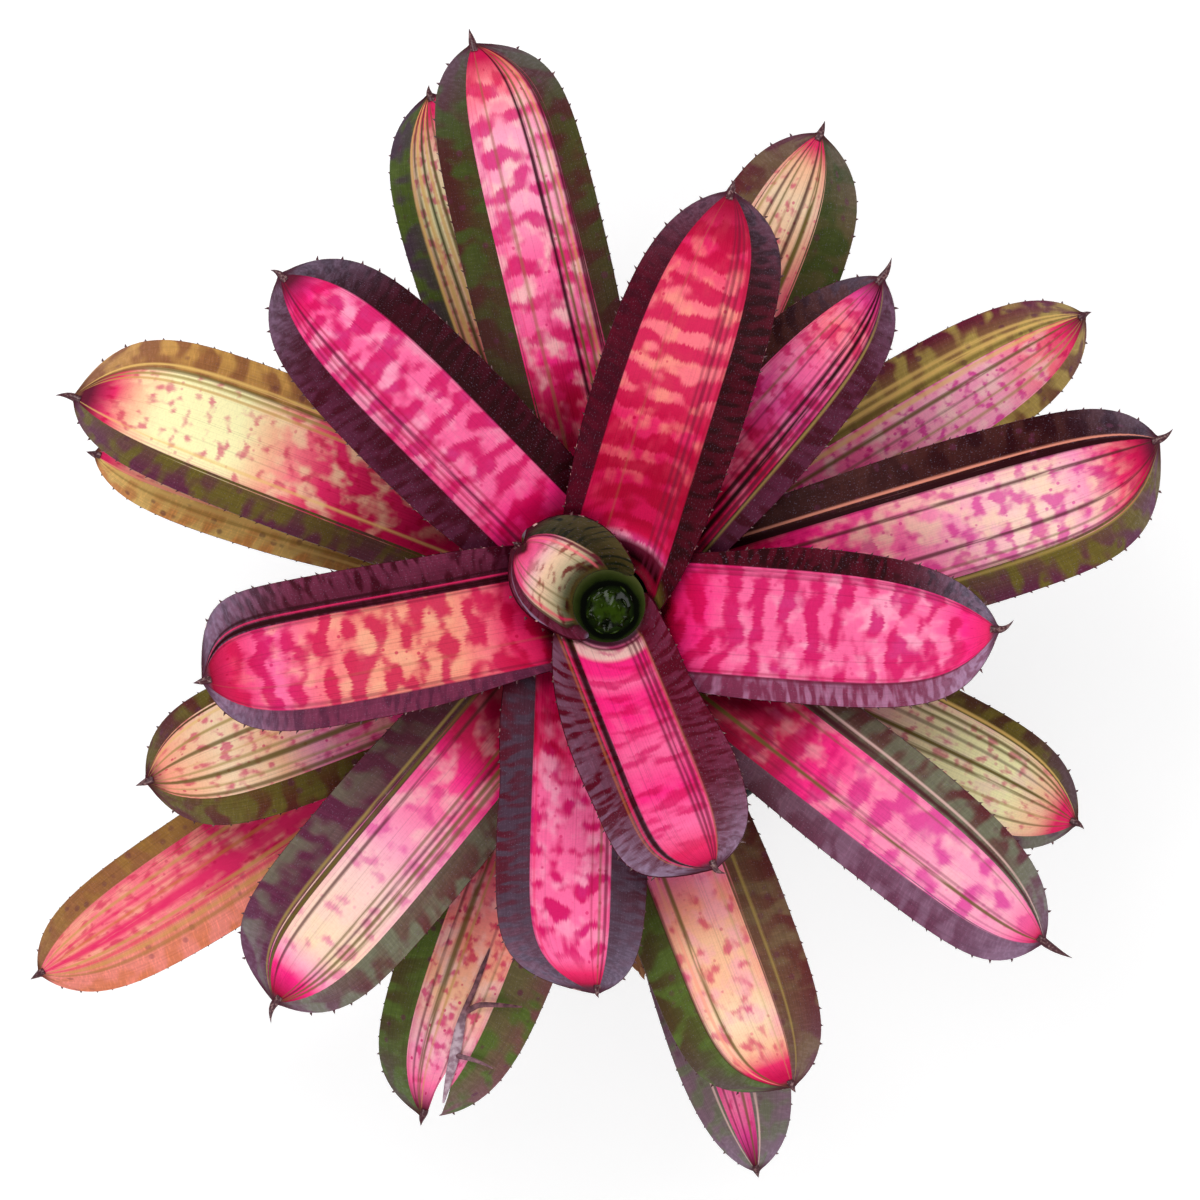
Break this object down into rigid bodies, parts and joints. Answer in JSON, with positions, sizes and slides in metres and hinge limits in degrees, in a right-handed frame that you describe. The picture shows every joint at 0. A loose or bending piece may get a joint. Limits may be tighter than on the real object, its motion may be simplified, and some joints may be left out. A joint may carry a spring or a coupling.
{
  "type": "potted neoregelia bromeliad",
  "caption": "Potted neoregelia bromeliad: a flat spiral rosette of broad toothed leaves, crimson and peach with dark margins, around a water-filled cup.",
  "frame": {"origin": "centre of the pot's flat base, on the surface that it stands on", "axes": "+Z up along the plant's stem; +X to the right and +Y up in the picture, which looks straight down"},
  "size_m": [0.496, 0.4944, 0.3147],
  "materials": {
    "leaf_crimson": "satin leaf, crimson and pink in the middle with dark maroon margins",
    "leaf_pink": "satin leaf, hot pink with dark lines and grey-green and maroon margins",
    "leaf_peach": "satin leaf, peach and cream with olive lines and green margins",
    "leaf_olive": "satin old leaf, orange and pink with olive margins",
    "withered_leaf": "dry orange-brown old leaf",
    "stem": "matt green-brown stem",
    "bud_nest": "wet dark green buds",
    "cup_water": "still dark water",
    "potting_mix": "rough dark bark mix",
    "pot": "satin charcoal nursery plastic"
  },
  "bodies": {
    "root": {"leaf_01": "leaf_crimson", "leaf_02": "leaf_crimson", "leaf_03": "leaf_crimson", "leaf_04": "leaf_crimson", "leaf_05": "leaf_crimson", "leaf_06": "leaf_crimson", "leaf_07": "leaf_crimson", "leaf_08": "leaf_pink", "leaf_09": "leaf_pink", "leaf_10": "leaf_pink", "leaf_11": "leaf_pink", "leaf_12": "leaf_pink", "leaf_13": "leaf_pink", "leaf_14": "leaf_peach", "leaf_15": "leaf_peach", "leaf_16": "leaf_peach", "leaf_17": "leaf_peach", "leaf_18": "leaf_peach", "leaf_19": "leaf_peach", "leaf_20": "leaf_olive", "leaf_21": "leaf_olive", "leaf_22": "leaf_olive", "leaf_23": "leaf_olive", "withered_leaf": "withered_leaf", "stem": "stem", "bud_nest": "bud_nest", "cup_water": "cup_water", "potting_mix": "potting_mix", "pot": "pot"}
  },
  "joints": []
}
